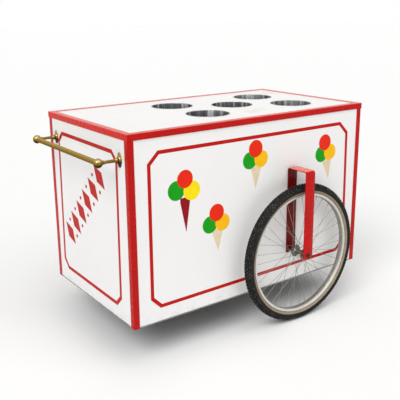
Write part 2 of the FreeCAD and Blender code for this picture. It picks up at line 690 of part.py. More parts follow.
def make_caster_fork(kingpin):
    """A crown over two slanted side plates, with a foot round the axle bolt."""
    body = node(new_body(), "caster_fork")
    heel = "(-(dims.caster_trail + dims.fork_foot))"
    toe = "(dims.fork_foot - dims.caster_trail)"
    foot = f"({CASTER_RADIUS} - dims.fork_foot)"
    side = sketch_on(body, "XZ_Plane")
    outline(side, [("dims.crown_front", CROWN_FOOT), ("dims.crown_front", CROWN_TOP), (heel, CROWN_TOP),
                   (heel, foot), (toe, foot)])
    pad(body, side, f"2 * {FORK_OUTER}", symmetric=True)
    slot = sketch_on(body, "YZ_Plane")
    outline(slot, [(f"(-{FORK_INNER})", "0"), (FORK_INNER, "0"), (FORK_INNER, CROWN_FOOT),
                   (f"(-{FORK_INNER})", CROWN_FOOT)])
    pocket(body, slot, "2 * (dims.caster_trail + dims.fork_foot + dims.crown_front)", symmetric=True)
    pin_hole = sketch_on(body, "XY_Plane")
    circle(pin_hole, "0", "0", f"{kingpin} + dims.axle_play")
    pocket(body, pin_hole, CROWN_TOP, reverse=True)
    bolt_hole = sketch_on(body, "XZ_Plane")
    circle(bolt_hole, "(-dims.caster_trail)", CASTER_RADIUS, "dims.caster_bolt_dia / 2 + dims.thread_gap")
    pocket(body, bolt_hole, f"2 * {FORK_OUTER}", symmetric=True)
    foot_height = size(foot)

    def is_foot_corner(edge):
        box = edge.BoundBox
        return box.ZMax < foot_height + NEAR and box.XLength < NEAR

    round_edges(body, "dims.fork_foot_round", is_foot_corner)
    place(body, CASTER_X)


def make_caster_wheel():
    bolt = "(dims.caster_bolt_dia / 2)"
    bore = f"({bolt} + dims.axle_play)"
    tread_half = "(dims.caster_width / 2)"
    core = f"({CASTER_RADIUS} - dims.caster_tyre_thick)"
    profiles = {
        "caster_bolt": [("0", f"({FORK_OUTER} + dims.caster_bolt_head)"),
                        ("dims.caster_bolt_head_radius", f"({FORK_OUTER} + dims.caster_bolt_head)"),
                        ("dims.caster_bolt_head_radius", FORK_OUTER), (bolt, FORK_OUTER)],
        "caster_hub": [(bore, CASTER_HUB_HALF), ("dims.caster_boss_radius", CASTER_HUB_HALF),
                       ("dims.caster_boss_radius", tread_half), (core, tread_half)],
        "caster_tyre": [(f"({core} + dims.bead_gap)", tread_half),
                        (f"({CASTER_RADIUS} - dims.caster_tyre_round)", tread_half),
                        (CASTER_RADIUS, f"({tread_half} - dims.caster_tyre_round)")],
    }
    for label, half in profiles.items():
        body = node(new_body(), label)
        turn(body, mirrored_profile(half))
        place(body, f"{CASTER_X} - dims.caster_trail", "0", CASTER_RADIUS)


def check_document():
    """Stop if any object failed or any sub-part is empty or invalid."""
    for item in document.Objects:
        faults = {"Invalid", "Error"} & set(item.State)
        if faults:
            raise RuntimeError(f"{item.Label} is {', '.join(sorted(faults))}")
    for item in nodes:
        if item.Shape.isNull() or not item.Shape.isValid() or item.Shape.Volume <= 0:
            raise RuntimeError(f"{item.Label} has no valid solid")


make_box()
make_top()
make_wells()
make_corner_trims()
make_lid_trims()
make_brackets()
make_axles()
make_axle_nuts()
make_hubs()
make_rims()
make_tyres()
make_spokes()
make_handle()
make_caster()
document.recompute()
check_document()
os.makedirs("parts", exist_ok=True)
for item in nodes:
    item.Shape.exportStep(f"parts/{item.Label}.step")
whole = Part.makeCompound([item.Shape for item in nodes]).optimalBoundingBox()
print(f"{len(nodes)} sub-parts, X {whole.XMin:.1f} to {whole.XMax:.1f},"
      f" Y {whole.YMin:.1f} to {whole.YMax:.1f}, Z {whole.ZMin:.1f} to {whole.ZMax:.1f}")
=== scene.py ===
"""Looks of the ice cream cart: laminate, red mouldings, brass handle, bicycle wheels and steel wells."""
import math

import bmesh
import bpy
import numpy as np
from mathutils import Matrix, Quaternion, Vector


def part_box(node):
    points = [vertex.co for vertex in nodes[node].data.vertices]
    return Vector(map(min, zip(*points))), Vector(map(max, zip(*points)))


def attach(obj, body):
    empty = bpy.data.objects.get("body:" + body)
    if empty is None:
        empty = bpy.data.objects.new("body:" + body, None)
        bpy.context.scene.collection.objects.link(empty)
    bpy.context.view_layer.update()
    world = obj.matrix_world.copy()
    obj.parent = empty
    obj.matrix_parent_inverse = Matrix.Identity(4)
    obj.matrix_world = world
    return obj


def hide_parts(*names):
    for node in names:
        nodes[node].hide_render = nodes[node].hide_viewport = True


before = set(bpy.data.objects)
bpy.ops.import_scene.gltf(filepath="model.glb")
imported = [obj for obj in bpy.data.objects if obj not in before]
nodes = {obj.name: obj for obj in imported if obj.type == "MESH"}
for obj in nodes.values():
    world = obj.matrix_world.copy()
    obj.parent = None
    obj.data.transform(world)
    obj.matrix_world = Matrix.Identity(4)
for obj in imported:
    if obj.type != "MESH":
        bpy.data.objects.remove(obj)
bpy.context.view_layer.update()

MM = 0.001
SIDES = {"front": -1, "back": 1}

# Places read from the frame.

base_low, base_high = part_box("base_sheet")
LEFT, RIGHT = base_low.x, base_high.x
FRONT, BACK = base_low.y, base_high.y
FOOT = base_low.z
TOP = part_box("top_panel")[1].z
tyre_low, tyre_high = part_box("tyre_front")
WHEEL_RADIUS = (tyre_high.z - tyre_low.z) / 2
WHEEL_X = (tyre_low.x + tyre_high.x) / 2
WHEEL_Z = (tyre_low.z + tyre_high.z) / 2
WHEEL_Y = -(tyre_low.y + tyre_high.y) / 2
TYRE_HALF = (tyre_high.y - tyre_low.y) / 2
rim_low, rim_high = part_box("rim_front")
RIM_TIP = (rim_high.z - rim_low.z) / 2
RIM_HALF = (rim_high.y - rim_low.y) / 2
SECTION = TYRE_HALF
SECTION_CENTRE = WHEEL_RADIUS - SECTION
RIM_DEPTH = 14 * MM
RIM_INNER = RIM_TIP - RIM_DEPTH
GUM_EDGE = RIM_TIP + 13 * MM


# Surfaces: each is (points, [faces]), points an array of places and faces arrays of point numbers.

def grid_faces(rows, columns, wrap_rows=False, wrap_columns=False):
    """Quads between neighbours of a grid; a wrapped side joins its last line to its first."""
    row, column = np.meshgrid(np.arange(rows - (not wrap_rows)), np.arange(columns - (not wrap_columns)),
                              indexing="ij")
    next_row, next_column = (row + 1) % rows, (column + 1) % columns
    quads = [row * columns + column, next_row * columns + column,
             next_row * columns + next_column, row * columns + next_column]
    return np.stack(quads, axis=-1).reshape(-1, 4)


def unit(vectors):
    """Each vector divided by its length."""
    vectors = np.asarray(vectors, float)
    return vectors / np.linalg.norm(vectors, axis=-1, keepdims=True)


def rounded(corners, radius, steps=5, closed=True):
    """An outline with an arc at each corner.

    An arc starts at corner - radius * tan(turn / 2) * incoming and runs to
    start + radius * (sin(turn * s) * incoming + (1 - cos(turn * s)) * inward), s from 0 to 1.
    """
    corners = np.asarray(corners, float)
    radius = np.broadcast_to(radius, len(corners)).astype(float)[:, None]
    incoming = unit(corners - np.roll(corners, 1, axis=0))
    outgoing = unit(np.roll(corners, -1, axis=0) - corners)
    turn = np.arctan2(incoming[:, 0] * outgoing[:, 1] - incoming[:, 1] * outgoing[:, 0],
                      (incoming * outgoing).sum(axis=1))[:, None]
    inward = np.stack([-incoming[:, 1], incoming[:, 0]], axis=1) * np.sign(turn)
    start = corners - radius * np.tan(np.abs(turn) / 2) * incoming
    swept = np.abs(turn) * np.linspace(0, 1, steps)
    arcs = (start[:, None] + radius[:, None] * (np.sin(swept)[..., None] * incoming[:, None]
                                                + (1 - np.cos(swept))[..., None] * inward[:, None]))
    if closed:
        return arcs.reshape(-1, 2)
    return np.concatenate([corners[:1], arcs[1:-1].reshape(-1, 2), corners[-1:]])


def turned(profile, origin, axis, segments=64, loop=False):
    """origin + along * axis + radius * (cos(turn) * side + sin(turn) * up), a profile of (radius, along)."""
    profile = np.asarray(profile, float)
    axis = unit(axis)
    side = unit(np.cross(axis, (0.3, 0.2, 1.0)))
    up = np.cross(axis, side)
    turn = np.linspace(0, 2 * np.pi, segments, endpoint=False)[:, None, None]
    spokes = np.cos(turn) * side + np.sin(turn) * up
    points = np.asarray(origin) + profile[None, :, 1:] * axis + profile[None, :, :1] * spokes
    return points.reshape(-1, 3), [grid_faces(segments, len(profile), True, loop)]


def carried(profile, path, normal, closed=False, ends=None):
    """path + x * across + y * normal for a flat profile of (x, y) carried along a flat path.

    across is square to the path in its plane and is lengthened at a bend by 1 / cos(turn / 2).
    ends are the directions of the path before its first and after its last point, for mitred ends.
    """
    path = np.asarray(path, float)
    profile = np.asarray(profile, float)
    normal = unit(normal)
    runs = unit(np.roll(path, -1, axis=0) - path)
    if closed:
        before, after = np.roll(runs, 1, axis=0), runs
    else:
        first, last = ends if ends is not None else (runs[0], runs[-2])
        before = np.concatenate([[first], runs[:-1]])
        after = np.concatenate([runs[:-1], [last]])
    middle = unit(before + after)
    reach = (middle * after).sum(axis=1, keepdims=True)
    across = np.cross(normal, middle) / reach
    points = path[:, None] + profile[None, :, :1] * across[:, None] + profile[None, :, 1:] * normal
    rows, columns = len(path), len(profile)
    faces = [grid_faces(rows, columns, closed, True)]
    if not closed:
        faces.append(np.arange(columns)[None])
        faces.append(np.arange((rows - 1) * columns, rows * columns)[None])
    return points.reshape(-1, 3), faces


def plate(outline, origin, across, up, depth):
    """origin + x * across + y * up for an outline of (x, y), and the same again raised by depth."""
    outline = np.asarray(outline, float)
    flat = (np.asarray(origin) + outline[:, :1] * np.asarray(across, float)
            + outline[:, 1:] * np.asarray(up, float))
    raised = flat + np.asarray(depth, float)
    count = len(outline)
    ring = np.arange(count)
    return (np.concatenate([flat, raised]),
            [grid_faces(2, count, False, True), ring[None], (ring + count)[None]])


def copies(surface, origins, frames):
    """origin + point * frame for every point of a small surface and every place in a list."""
    points, faces = surface
    placed = origins[:, None] + np.einsum("pi,kij->kpj", points, frames)
    shift = (np.arange(len(origins)) * len(points))[:, None, None]
    return placed.reshape(-1, 3), [(shift + face[None]).reshape(-1, face.shape[1]) for face in faces]


def join(surfaces):
    """Several surfaces as one."""
    points, faces, count = [], [], 0
    for some_points, some_faces in surfaces:
        points.append(some_points)
        faces += [face + count for face in some_faces]
        count += len(some_points)
    return np.concatenate(points), faces


def disc_outline(radius, count=64):
    """radius * (cos(turn), sin(turn))."""
    turn = np.linspace(0, 2 * np.pi, count, endpoint=False)
    return radius * np.stack([np.cos(turn), np.sin(turn)], axis=1)


def piece(name, surface, body, finish, stands_for=(), sharp=35):
    """A mesh object from a surface, closed at its seams and facing outwards, riding on a body."""
    points, faces = surface
    mesh = bpy.data.meshes.new(name)
    mesh.from_pydata(points.tolist(), [], [row for face in faces for row in face.tolist()])
    work = bmesh.new()
    work.from_mesh(mesh)
    bmesh.ops.remove_doubles(work, verts=work.verts, dist=1e-6)
    bmesh.ops.recalc_face_normals(work, faces=work.faces)
    work.to_mesh(mesh)
    work.free()
    mesh.shade_smooth()
    mesh.set_sharp_from_angle(angle=math.radians(sharp))
    mesh.materials.append(finish)
    made = bpy.data.objects.new(name, mesh)
    bpy.context.scene.collection.objects.link(made)
    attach(made, body)
    if stands_for:
        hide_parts(*stands_for)
    return made


# Shader maths: a Value wraps a socket, and an expression on Values adds Math nodes.

class Value:
    def __init__(self, finish, socket):
        self.finish = finish
        self.socket = socket

    def math(self, operation, *others):
        inputs = dict(enumerate((self, *others)))
        return self.finish.add("ShaderNodeMath", {"operation": operation}, inputs)

    def __add__(self, other):
        return self.math("ADD", other)

    __radd__ = __add__

    def __sub__(self, other):
        return self.math("SUBTRACT", other)

    def __rsub__(self, other):
        return (self * -1) + other

    def __mul__(self, other):
        return self.math("MULTIPLY", other)

    __rmul__ = __mul__

    def __pow__(self, other):
        return self.math("POWER", other)

    def __abs__(self):
        return self.math("ABSOLUTE")

    def most(self, other):
        return self.math("MAXIMUM", other)

    def least(self, other):
        return self.math("MINIMUM", other)

    def sine(self):
        return self.math("SINE")

    def ramp(self, low, high):
        """0 below low, 1 above high and smooth between."""
        settings = {"interpolation_type": "SMOOTHSTEP", "clamp": True}
        inputs = {"Value": self, "From Min": low, "From Max": high}
        return self.finish.add("ShaderNodeMapRange", settings, inputs)


class Bench:
    """A node tree under construction, around the shader that it already has."""

    def __init__(self, tree, shader):
        self.tree = tree
        self.shader = tree.nodes[shader]

    def add(self, kind, settings=None, inputs=None, output=0):
        """Any node: its settings first, then its inputs, which are numbers, tuples or Values."""
        made = self.tree.nodes.new(kind)
        for name, setting in (settings or {}).items():
            setattr(made, name, setting)
        for name, given in (inputs or {}).items():
            if isinstance(given, Value):
                self.tree.links.new(given.socket, made.inputs[name])
            else:
                made.inputs[name].default_value = given
        return Value(self, made.outputs[output])

    def set(self, socket, given):
        if isinstance(given, Value):
            self.tree.links.new(given.socket, self.shader.inputs[socket])
        else:
            self.shader.inputs[socket].default_value = given


class Finish(Bench):
    """A material under construction: its nodes, its surface shader and the place on the object."""

    def __init__(self, name, roughness, metallic=0.0, colour=(0.8, 0.8, 0.8), coat=0.0, specular=0.5):
        self.material = bpy.data.materials.new(name)
        self.material.use_nodes = True
        super().__init__(self.material.node_tree, "Principled BSDF")
        self.set("Roughness", roughness)
        self.set("Metallic", metallic)
        self.set("Base Color", (*colour, 1))
        self.set("Coat Weight", coat)
        self.set("Coat Roughness", 0.15)
        self.set("Specular IOR Level", specular)
        self.place = self.add("ShaderNodeTexCoord", output="Object")

    def axes(self, place=None):
        """The x, y and z of a place, as Values."""
        split = self.tree.nodes.new("ShaderNodeSeparateXYZ")
        self.tree.links.new((place or self.place).socket, split.inputs[0])
        return [Value(self, output) for output in split.outputs]

    def stretched(self, scale):
        inputs = {"Vector": self.place, "Scale": scale}
        return self.add("ShaderNodeMapping", {"vector_type": "POINT"}, inputs)

    def noise(self, scale, detail=3.0, roughness=0.55, place=None):
        inputs = {"Vector": place or self.place, "Scale": scale, "Detail": detail, "Roughness": roughness}
        return self.add("ShaderNodeTexNoise", {"noise_dimensions": "3D"}, inputs)

    def blend(self, share, low, high):
        """Colour low where share is 0 and high where it is 1."""
        made = self.tree.nodes.new("ShaderNodeMix")
        made.data_type = "RGBA"
        for index, given in ((0, share), (6, low), (7, high)):
            if isinstance(given, Value):
                self.tree.links.new(given.socket, made.inputs[index])
            else:
                made.inputs[index].default_value = given if index == 0 else (*given, 1)
        return Value(self, made.outputs[2])

    def bump(self, height, distance, strength=1.0):
        made = self.add("ShaderNodeBump", {}, {"Height": height, "Distance": distance, "Strength": strength})
        self.set("Normal", made)


def shade(colour, share):
    """A colour with each part multiplied by a share."""
    return tuple(share * part for part in colour)


def painted(name, colour, roughness=0.24, wear=0.0, shading=None):
    """Brushed gloss paint: slightly uneven colour, orange peel and small worn places."""
    finish = Finish(name, roughness, specular=0.12)
    mottle = finish.noise(9, 4)
    tone = finish.blend(mottle.ramp(0.35, 0.7), shade(colour, 0.9), colour)
    grime = finish.noise(60, 5, 0.7).ramp(0.62, 0.78)
    tone = finish.blend(grime * 0.16, tone, shade(colour, 0.45))
    if wear:
        places = finish.noise(14, 2).ramp(0.58 - wear, 0.64 - wear)
        chips = finish.noise(140, 3, 0.6).ramp(0.71, 0.73) * places
        tone = finish.blend(chips, tone, (0.16, 0.13, 0.11))
    if shading:
        tone = shading(finish, tone)
    finish.set("Base Color", tone)
    finish.set("Roughness", finish.noise(30, 4) * 0.22 + (roughness - 0.08))
    finish.bump(finish.noise(420, 2) + finish.noise(45, 3) * 1.6, 0.00012)
    return finish.material


def painted_top_sheen(finish, tone, height, strength):
    """A painted pink highlight on the faces that look up, at the height of a top edge."""
    _, _, z = finish.axes()
    share = z.ramp(height - 2.5 * MM, height - 0.4 * MM) * (finish.noise(30, 4) * 0.4 + 0.7)
    return finish.blend((share * strength).least(1), tone, (0.82, 0.2, 0.165))


def bracket_shading(finish, tone):
    """The leg beside the wall darker red, and a painted pink highlight on the top."""
    _, y, _ = finish.axes()
    beside_wall = 1 - abs(y).ramp(BACK + 12 * MM, BACK + 50 * MM)
    # Darker red on the leg beside the wall.
    film = beside_wall * (0.75 + finish.noise(16, 4) * 0.3)
    tone = finish.blend(film.least(0.9), tone, (0.11, 0.004, 0.003))
    return painted_top_sheen(finish, tone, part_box("wheel_bracket_front")[1].z, 0.9)


def moulding_shading(finish, tone):
    """Painted light on the legs that face the handle end, and a painted pink highlight on the top faces."""
    x, _, _ = finish.axes()
    # Painted light: lighter red on the legs that face the handle end.
    tone = finish.blend((1 - x.ramp(LEFT - 3.5 * MM, LEFT - 2 * MM)) * 0.6, tone, (0.72, 0.014, 0.005))
    return painted_top_sheen(finish, tone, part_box("lid_trim_front")[1].z, 0.7)


def vinyl(name, colour, faded=0.0):
    """Cut film ornament: even colour, a little uneven in patches, with a fine grain."""
    finish = Finish(name, 0.4, specular=0.12)
    deep = shade(colour, 0.9 - faded)
    tone = finish.blend(finish.noise(35, 4).ramp(0.45, 0.8), colour, deep)
    finish.set("Base Color", tone)
    finish.set("Roughness", finish.noise(80, 3) * 0.25 + 0.28)
    finish.bump(finish.noise(900, 2), 0.00003)
    return finish.material


def laminate(name, marks=None):
    """White laminate: faint mottling, rubbed streaks, soft dirt near the foot of the box."""
    finish = Finish(name, 0.3, specular=0.4)
    x, y, z = finish.axes()
    white = (0.87, 0.862, 0.85)
    tone = finish.blend(finish.noise(2.2, 3).ramp(0.3, 0.75), shade(white, 0.975), white)
    scuffs = finish.noise(26, 5, 0.75, finish.stretched((1, 1, 5))).ramp(0.66, 0.8)
    tone = finish.blend(scuffs * 0.16, tone, (0.52, 0.5, 0.46))
    low = (1 - z.ramp(FOOT, FOOT + 0.07)) * finish.noise(40, 5, 0.7).ramp(0.42, 0.75)
    tone = finish.blend(low * 0.3, tone, (0.36, 0.33, 0.28))
    if marks:
        tone = marks(finish, tone, x, y)
    finish.set("Base Color", tone)
    finish.set("Roughness", finish.noise(18, 4) * 0.2 + 0.22 + scuffs * 0.12)
    finish.bump(finish.noise(600, 2) + finish.noise(12, 2) * 2.5, 0.00005)
    return finish.material


def spot(x, y, centre, radius, soft):
    """1 inside a round spot on the top and 0 outside."""
    distance = ((x - centre[0]) ** 2 + (y - centre[1]) ** 2) ** 0.5
    return 1 - distance.ramp(radius - soft, radius + soft)


def top_marks(finish, tone, x, y):
    """Ornament on the top that years of wiping have nearly taken off, and one grey smudge."""
    worn = finish.noise(55, 4, 0.7).ramp(0.3, 0.62)
    for along, across, radius, colour, strength in TOP_SPOTS:
        mask = spot(x, y, (LEFT + along * MM, FRONT + across * MM), radius * MM, 4 * MM)
        tone = finish.blend(mask * worn * strength, tone, colour)
    return tone


TOP_SPOTS = [
    (736, 226, 34, (0.9, 0.74, 0.2), 0.45),
    (727, 140, 34, (0.85, 0.2, 0.12), 0.3),
    (794, 162, 34, (0.2, 0.6, 0.2), 0.32),
    (1213, 578, 38, (0.85, 0.2, 0.12), 0.35),
    (1209, 516, 30, (0.8, 0.66, 0.45), 0.4),
    (254, 116, 9, (0.42, 0.42, 0.44), 0.7),
]


def metal(name, colour, roughness, dark, dirt):
    """Bare metal: tone and gloss vary with tarnish, over a fine grain."""
    finish = Finish(name, roughness, 1.0)
    tarnish = finish.noise(70, 5, 0.65).ramp(0.4, 0.75)
    tone = finish.blend(tarnish * dirt * 2, colour, dark)
    finish.set("Base Color", tone)
    finish.set("Roughness", tarnish * dirt + roughness)
    finish.bump(finish.noise(220, 3, 0.6), 0.00006)
    return finish.material


def aged_brass():
    """Brass with cloudy tarnish, a painted highlight along the top and painted shade along the underside."""
    finish = Finish("aged_brass", 0.3, 0.8)
    finish.set("Specular Tint", (0.7, 0.5, 0.2, 1))
    bar_low, bar_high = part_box("handle_bar")
    middle = (bar_low.z + bar_high.z) / 2
    _, _, z = finish.axes()
    cloudy = finish.noise(70, 5, 0.65)
    height = z - middle + (cloudy - 0.5) * 4 * MM
    tone = finish.blend(cloudy.ramp(0.4, 0.75), (0.29, 0.19, 0.042), (0.21, 0.13, 0.028))
    # Painted highlight: lighter along the top of the bar.
    tone = finish.blend(height.ramp(5 * MM, 10 * MM) * 0.6, tone, (0.55, 0.44, 0.22))
    # Painted shade: dark along the underside of the bar.
    tone = finish.blend((1 - height.ramp(-8 * MM, 3 * MM)) * 0.95, tone, (0.03, 0.018, 0.002))
    finish.set("Base Color", tone)
    finish.set("Roughness", cloudy * 0.2 + 0.16)
    finish.bump(finish.noise(220, 3, 0.6), 0.00004)
    return finish.material


def well_steel():
    """Dull drawn steel: dark, with bright streaks, painted reflections, that run straight down the wall of a
    well.
    """
    finish = Finish("well_steel", 0.26, 0.9)
    down = finish.stretched((1, 1, 0.02))
    reflection_streak = finish.noise(46, 2, 0.5, down).ramp(0.5, 0.64)
    broad = finish.noise(17, 1, 0.5, down).ramp(0.4, 0.62)
    fine = finish.noise(170, 3, 0.6, down).ramp(0.35, 0.7)
    tone = finish.blend(broad, (0.17, 0.175, 0.185), (0.4, 0.405, 0.415))
    tone = finish.blend(fine * 0.35, tone, (0.09, 0.093, 0.1))
    # Painted reflections: bright streaks down the wall.
    tone = finish.blend(reflection_streak * 0.85, tone, (0.9, 0.9, 0.9))
    _, _, z = finish.axes()
    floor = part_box("well_centre")[0].z
    dull = finish.blend(finish.noise(40, 4, 0.6), (0.4, 0.4, 0.4), (0.24, 0.24, 0.245))
    tone = finish.blend(z.ramp(floor + 2 * MM, floor + 15 * MM), dull, tone)
    lip = z.ramp(TOP - 3 * MM, TOP)
    finish.set("Base Color", finish.blend(lip, tone, (0.6, 0.6, 0.59)))
    finish.set("Roughness", fine * 0.12 + 0.22)
    finish.bump(fine, 0.00005)
    return finish.material


def wheel_radius(finish):
    """Distance from the wheels' common axis line."""
    x, _, z = finish.axes()
    return ((x - WHEEL_X) ** 2 + (z - WHEEL_Z) ** 2) ** 0.5


def tyre_rubber():
    """Black rubber on the tread and tan side walls near the rim, with fine moulded rings."""
    finish = Finish("tyre_rubber", 0.75, specular=0.2)
    radius = wheel_radius(finish)
    dust = finish.noise(160, 4, 0.7).ramp(0.4, 0.8)
    black = finish.blend(dust * 0.4, (0.008, 0.008, 0.0075), (0.03, 0.028, 0.025))
    gum = finish.blend(finish.noise(90, 4, 0.7).ramp(0.35, 0.75), (0.33, 0.265, 0.19), (0.23, 0.175, 0.12))
    wavy = radius + finish.noise(14, 2) * 0.002
    finish.set("Base Color", finish.blend(wavy.ramp(GUM_EDGE, GUM_EDGE + 0.0015), gum, black))
    finish.set("Roughness", dust * 0.2 + 0.6)
    rings = (radius * (2 * math.pi / 0.0026)).sine()
    finish.bump(rings * 0.5 + finish.noise(700, 3), 0.00018)
    return finish.material


def tread_rubber():
    """Worn black blocks, some of them greyer than their neighbours."""
    finish = Finish("tread_rubber", 0.7, specular=0.2)
    worn = finish.noise(75, 4, 0.7).ramp(0.44, 0.68)
    _, y, _ = finish.axes()
    casing = ((wheel_radius(finish) - SECTION_CENTRE) ** 2 + (abs(y) - WHEEL_Y) ** 2) ** 0.5
    head = casing.ramp(SECTION - 2.4 * MM, SECTION - 1 * MM)
    rubbed = finish.blend(worn, (0.008, 0.008, 0.0075), (0.1, 0.097, 0.088))
    finish.set("Base Color", finish.blend(head, (0.003, 0.003, 0.003), rubbed))
    finish.set("Roughness", worn * 0.15 + 0.62)
    finish.bump(finish.noise(900, 3), 0.0002)
    return finish.material


def alloy():
    """Rim aluminium with fine turned rings and brake marks."""
    finish = Finish("rim_alloy", 0.45, 0.85)
    radius = wheel_radius(finish)
    rings = finish.noise(1.0, 3, 0.6, finish.add("ShaderNodeCombineXYZ", {}, {"X": radius * 2500}))
    dull = finish.noise(45, 4, 0.6).ramp(0.4, 0.75)
    grimy = 1 - radius.ramp(RIM_INNER + 1.5 * MM, RIM_INNER + 6 * MM)
    tone = finish.blend(dull * 0.5, (0.66, 0.65, 0.62), (0.5, 0.48, 0.44))
    finish.set("Base Color", finish.blend(grimy * 0.75, tone, (0.24, 0.22, 0.185)))
    finish.set("Roughness", rings * 0.14 + dull * 0.14 + 0.38)
    finish.bump(rings, 0.00005)
    return finish.material


RED = (0.51, 0.005, 0.003)
red_paint = painted("red_moulding_paint", RED, wear=0.03, shading=moulding_shading)
bracket_paint = painted("red_bracket_paint", RED, wear=0.02, shading=bracket_shading)
film_red = vinyl("film_red", (0.5, 0.005, 0.003))
film_scoop_red = vinyl("film_scoop_red", (0.8, 0.021, 0.003))
film_green = vinyl("film_green", (0.006, 0.33, 0.007))
film_yellow = vinyl("film_yellow", (0.95, 0.74, 0.004))
film_orange = vinyl("film_orange", (0.95, 0.5, 0.004))
film_wafer = vinyl("film_wafer", (0.77, 0.64, 0.42), 0.05)
film_crimson = vinyl("film_crimson", (0.28, 0.003, 0.011))
laminate_wall = laminate("white_laminate")
laminate_top = laminate("white_laminate_top", top_marks)
brass = aged_brass()
steel = well_steel()
hub_steel = metal("hub_steel", (0.2, 0.2, 0.17), 0.42, (0.06, 0.055, 0.04), dirt=0.4)
spoke_steel = metal("spoke_steel", (0.32, 0.32, 0.28), 0.4, (0.12, 0.115, 0.09), dirt=0.2)
axle_steel = metal("axle_steel", (0.13, 0.085, 0.06), 0.42, (0.05, 0.03, 0.02), dirt=0.4)
zinc = metal("zinc_plate", (0.56, 0.57, 0.57), 0.38, (0.33, 0.33, 0.32), dirt=0.25)
gum_and_black = tyre_rubber()
tread_black = tread_rubber()
rim_alloy = alloy()


def plain(name, colour, roughness, scale, spread=0.25):
    """A matt moulded or sawn material with a fine grain."""
    finish = Finish(name, roughness)
    finish.set("Base Color", finish.blend(finish.noise(scale, 5, 0.65), shade(colour, 1 - spread), colour))
    finish.set("Roughness", finish.noise(scale * 2, 3) * 0.2 + (roughness - 0.1))
    finish.bump(finish.noise(scale * 6, 3), 0.0001)
    return finish.material


caster_rubber = plain("caster_rubber", (0.035, 0.034, 0.033), 0.65, 60)
caster_plastic = plain("caster_plastic", (0.16, 0.16, 0.165), 0.5, 50)
plywood = plain("floor_plywood", (0.5, 0.36, 0.21), 0.7, 30)
# Near-black for the strip that paints the shade of the gap above the base sheet.
shaded_gap_black = plain("shaded_gap_strip", (0.03, 0.028, 0.026), 0.7, 80)


def zinc_with_shaded_underside():
    """Zinc sheet at its edge and a near-black brushed lower face, painted shade that keeps the floor under
    the box dark.
    """
    finish = Finish("base_zinc", 0.5, 0.5)
    _, _, z = finish.axes()
    sheet = finish.blend(finish.noise(60, 4).ramp(0.35, 0.7), (0.5, 0.51, 0.51), (0.33, 0.33, 0.32))
    # Painted shade: the near-black lower face.
    underside_shade = finish.blend(finish.noise(35, 5, 0.7), (0.035, 0.033, 0.03), (0.012, 0.012, 0.011))
    finish.set("Base Color", finish.blend(z.ramp(FOOT + 0.1 * MM, FOOT + 0.5 * MM), underside_shade, sheet))
    finish.set("Roughness", finish.noise(50, 4) * 0.2 + 0.5)
    finish.bump(finish.noise(120, 4), 0.0002)
    return finish.material


base_zinc = zinc_with_shaded_underside()


def dress(finish, *names):
    """Give CAD nodes a material."""
    for name in names:
        nodes[name].material_slots[0].material = finish


dress(laminate_wall, "front_panel", "back_panel", "handle_end_panel", "far_end_panel")
dress(laminate_top, "top_panel")
dress(zinc, "caster_plate", "caster_kingpin", "caster_fork", "caster_bolt")
dress(base_zinc, "base_sheet")
dress(plywood, "floor_panel")
dress(axle_steel, "axle_front", "axle_back", "axle_nuts_front", "axle_nuts_back")


# Red mouldings with rounded edges.

SKIN = 2 * MM


def make_corner_trims():
    """An angle with rounded edges carried straight up each corner."""
    for label, x_out, y_out in (("front_near", -1, -1), ("front_far", 1, -1), ("back_far", 1, 1),
                                ("back_near", -1, 1)):
        name = f"corner_trim_{label}"
        low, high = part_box(name)
        leg = high.x - low.x
        corner = np.array([low.x if x_out < 0 else high.x, low.y if y_out < 0 else high.y])
        angle = np.array([(0, 0), (leg, 0), (leg, SKIN), (SKIN, SKIN), (SKIN, leg), (0, leg)])
        outline = rounded(angle, np.array([1.6, 0.9, 0.9, 0.4, 0.9, 0.9]) * MM) * (-x_out, -y_out)
        ends = np.array([(*corner, low.z), (*corner, high.z)])
        points = ends[:, None] + np.concatenate([outline, np.zeros((len(outline), 1))], axis=1)
        count = len(outline)
        faces = [grid_faces(2, count, False, True), np.arange(count)[None], (np.arange(count) + count)[None]]
        piece(f"{name}_bar", (points.reshape(-1, 3), faces), "cart", red_paint, (name,))


def make_lid_trims():
    """An angle with rounded edges carried along each edge of the top, mitred at its ends."""
    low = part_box("lid_trim_front")[0]
    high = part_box("lid_trim_back")[1]
    side = high.z - low.z
    trim_low, trim_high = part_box("lid_trim_front")
    leg = trim_high.y - trim_low.y
    corners = np.array([(low.x, low.y, low.z), (high.x, low.y, low.z), (high.x, high.y, low.z),
                        (low.x, high.y, low.z)])
    angle = [(0, 0), (SKIN, 0), (SKIN, side - SKIN), (leg, side - SKIN), (leg, side), (0, side)]
    profile = rounded(angle, np.array([0.9, 0.9, 0.4, 0.9, 0.9, 2.0]) * MM)
    runs = unit(np.roll(corners, -1, axis=0) - corners)
    names = ["lid_trim_front", "lid_trim_far_end", "lid_trim_back", "lid_trim_handle_end"]
    for index, name in enumerate(names):
        gap = 0.15 * MM * runs[index]
        path = np.array([corners[index] + gap, corners[(index + 1) % 4] - gap])
        around = (runs[index - 1], runs[(index + 1) % 4])
        surface = carried(profile, path, (0, 0, 1), ends=around)
        piece(f"{name}_bar", surface, "cart", red_paint, (name,))


def make_seam():
    """A thin dark strip round the box where the walls meet the base sheet: painted shade standing for the
    shaded gap there.
    """
    inset = 0.1 * MM
    corners = [(LEFT, FRONT, base_high.z), (RIGHT, FRONT, base_high.z), (RIGHT, BACK, base_high.z),
               (LEFT, BACK, base_high.z)]
    profile = [(inset, -1.0 * MM), (inset, 0.9 * MM), (-0.35 * MM, 0.9 * MM), (-0.35 * MM, -1.0 * MM)]
    piece("base_seam", carried(profile, corners, (0, 0, 1), closed=True), "cart", shaded_gap_black)


# Film ornament on the walls: line frames, cones with scoops, and a row of lozenges.

